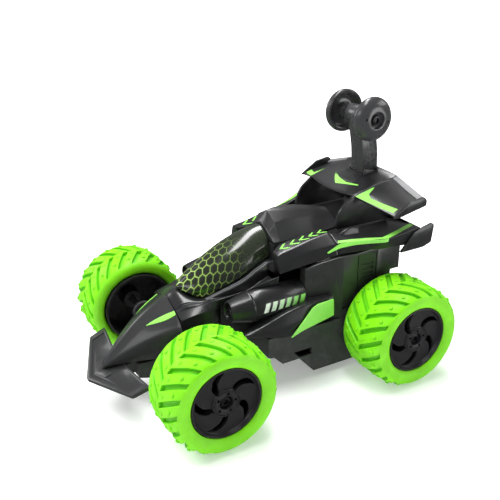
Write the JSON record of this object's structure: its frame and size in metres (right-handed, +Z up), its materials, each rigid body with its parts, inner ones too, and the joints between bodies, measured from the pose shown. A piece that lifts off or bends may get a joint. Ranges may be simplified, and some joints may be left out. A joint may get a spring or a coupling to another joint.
{
  "type": "rc stunt car",
  "caption": "Remote controlled stunt car: low racing body on big soft tyres, geared rear drive and a tail arm with rollers for wheelies and flips.",
  "frame": {"origin": "centre of the footprint, on the plane the tyres stand on", "axes": "-Y to the nose, +X to the car's left, +Z up"},
  "size_m": [0.164, 0.215, 0.1678],
  "materials": {
    "black_plastic": "satin moulded ABS, nearly black",
    "charcoal_plastic": "charcoal plastic with a soft metallic sheen",
    "canopy_print": "smoked gloss bubble with a honeycomb print",
    "lime_trim": "bright green moulded trim",
    "lime_tyre": "soft lime green tyre rubber",
    "rim_black": "black moulded rim",
    "steel": "zinc plated steel",
    "motor_can": "motor can",
    "nylon": "white nylon",
    "brass": "turned brass",
    "battery_wrap": "blue shrink wrap",
    "circuit_green": "green lacquered board"
  },
  "bodies": {
    "root": {"chassis_tub": "black_plastic", "front_axle_housing": "black_plastic", "cowl": "black_plastic", "spine": "black_plastic", "rear_deck": "black_plastic", "tail": "black_plastic", "front_bumper": "charcoal_plastic", "nose_cone": "charcoal_plastic", "engine_cover": "charcoal_plastic", "stunt_arm": "charcoal_plastic", "shoulder_left": "charcoal_plastic", "shoulder_right": "charcoal_plastic", "turbine_left": "charcoal_plastic", "turbine_right": "charcoal_plastic", "side_fairing_left": "charcoal_plastic", "side_fairing_right": "charcoal_plastic", "side_panel_left": "charcoal_plastic", "side_panel_right": "charcoal_plastic", "canopy": "canopy_print", "nose_insert_left": "lime_trim", "nose_insert_right": "lime_trim", "fairing_panel_left": "lime_trim", "fairing_panel_right": "lime_trim", "arm_pin": "steel", "arm_screw_left": "steel", "arm_screw_right": "steel", "motor_left": "motor_can", "motor_right": "motor_can", "gearbox_left": "nylon", "gearbox_right": "nylon", "axle_bush_left": "brass", "axle_bush_right": "brass", "battery_pack": "battery_wrap", "circuit_board": "circuit_green"},
    "wheel_front_left": {"tyre_front_left": "lime_tyre", "rim_front_left": "rim_black", "wheel_screw_front_left": "steel", "axle_front_left": "steel"},
    "wheel_front_right": {"tyre_front_right": "lime_tyre", "rim_front_right": "rim_black", "wheel_screw_front_right": "steel", "axle_front_right": "steel"},
    "wheel_rear_left": {"tyre_rear_left": "lime_tyre", "rim_rear_left": "rim_black", "wheel_screw_rear_left": "steel", "axle_rear_left": "steel", "final_gear_left": "nylon"},
    "wheel_rear_right": {"tyre_rear_right": "lime_tyre", "rim_rear_right": "rim_black", "wheel_screw_rear_right": "steel", "axle_rear_right": "steel", "final_gear_right": "nylon"},
    "idler_left": {"idler_gear_left": "nylon"},
    "motor_shaft_left": {"pinion_left": "brass"},
    "arm_roller_left": {"arm_wheel_left": "charcoal_plastic"},
    "idler_right": {"idler_gear_right": "nylon"},
    "motor_shaft_right": {"pinion_right": "brass"},
    "arm_roller_right": {"arm_wheel_right": "charcoal_plastic"},
    "battery_cover": {"battery_door": "black_plastic"},
    "switch_slider": {"power_switch": "lime_trim"}
  },
  "joints": [
    {"name": "spin_front_left", "type": "hinge", "parent": "root", "child": "wheel_front_left", "pos_m": [0.06, -0.0555, 0.033], "axis": [1, 0, 0], "continuous": true},
    {"name": "spin_front_right", "type": "hinge", "parent": "root", "child": "wheel_front_right", "pos_m": [-0.06, -0.0555, 0.033], "axis": [1, 0, 0], "continuous": true},
    {"name": "spin_rear_left", "type": "hinge", "parent": "root", "child": "wheel_rear_left", "pos_m": [0.06, 0.0745, 0.033], "axis": [1, 0, 0], "continuous": true},
    {"name": "spin_rear_right", "type": "hinge", "parent": "root", "child": "wheel_rear_right", "pos_m": [-0.06, 0.0745, 0.033], "axis": [1, 0, 0], "continuous": true},
    {"name": "idler_spin_left", "type": "hinge", "parent": "root", "child": "idler_left", "pos_m": [0.033, 0.0625, 0.033], "axis": [1, 0, 0], "continuous": true},
    {"name": "motor_spin_left", "type": "hinge", "parent": "root", "child": "motor_shaft_left", "pos_m": [0.033, 0.05162, 0.033], "axis": [1, 0, 0], "continuous": true},
    {"name": "arm_roller_spin_left", "type": "hinge", "parent": "root", "child": "arm_roller_left", "pos_m": [0.016, 0.0825, 0.154], "axis": [1, 0, 0], "continuous": true},
    {"name": "idler_spin_right", "type": "hinge", "parent": "root", "child": "idler_right", "pos_m": [-0.033, 0.0625, 0.033], "axis": [1, 0, 0], "continuous": true},
    {"name": "motor_spin_right", "type": "hinge", "parent": "root", "child": "motor_shaft_right", "pos_m": [-0.033, 0.05162, 0.033], "axis": [1, 0, 0], "continuous": true},
    {"name": "arm_roller_spin_right", "type": "hinge", "parent": "root", "child": "arm_roller_right", "pos_m": [-0.016, 0.0825, 0.154], "axis": [1, 0, 0], "continuous": true},
    {"name": "battery_cover_slide", "type": "slide", "parent": "root", "child": "battery_cover", "axis": [0, 1, 0], "range_m": [0, 0.04]},
    {"name": "power_switch_slide", "type": "slide", "parent": "root", "child": "switch_slider", "axis": [0, 1, 0], "range_m": [0, 0.004]}
  ],
  "couplings": [
    {"joint": "idler_spin_left", "follows": "spin_rear_left", "ratio": -3},
    {"joint": "motor_spin_left", "follows": "spin_rear_left", "ratio": 7.875},
    {"joint": "idler_spin_right", "follows": "spin_rear_right", "ratio": -3},
    {"joint": "motor_spin_right", "follows": "spin_rear_right", "ratio": 7.875}
  ]
}
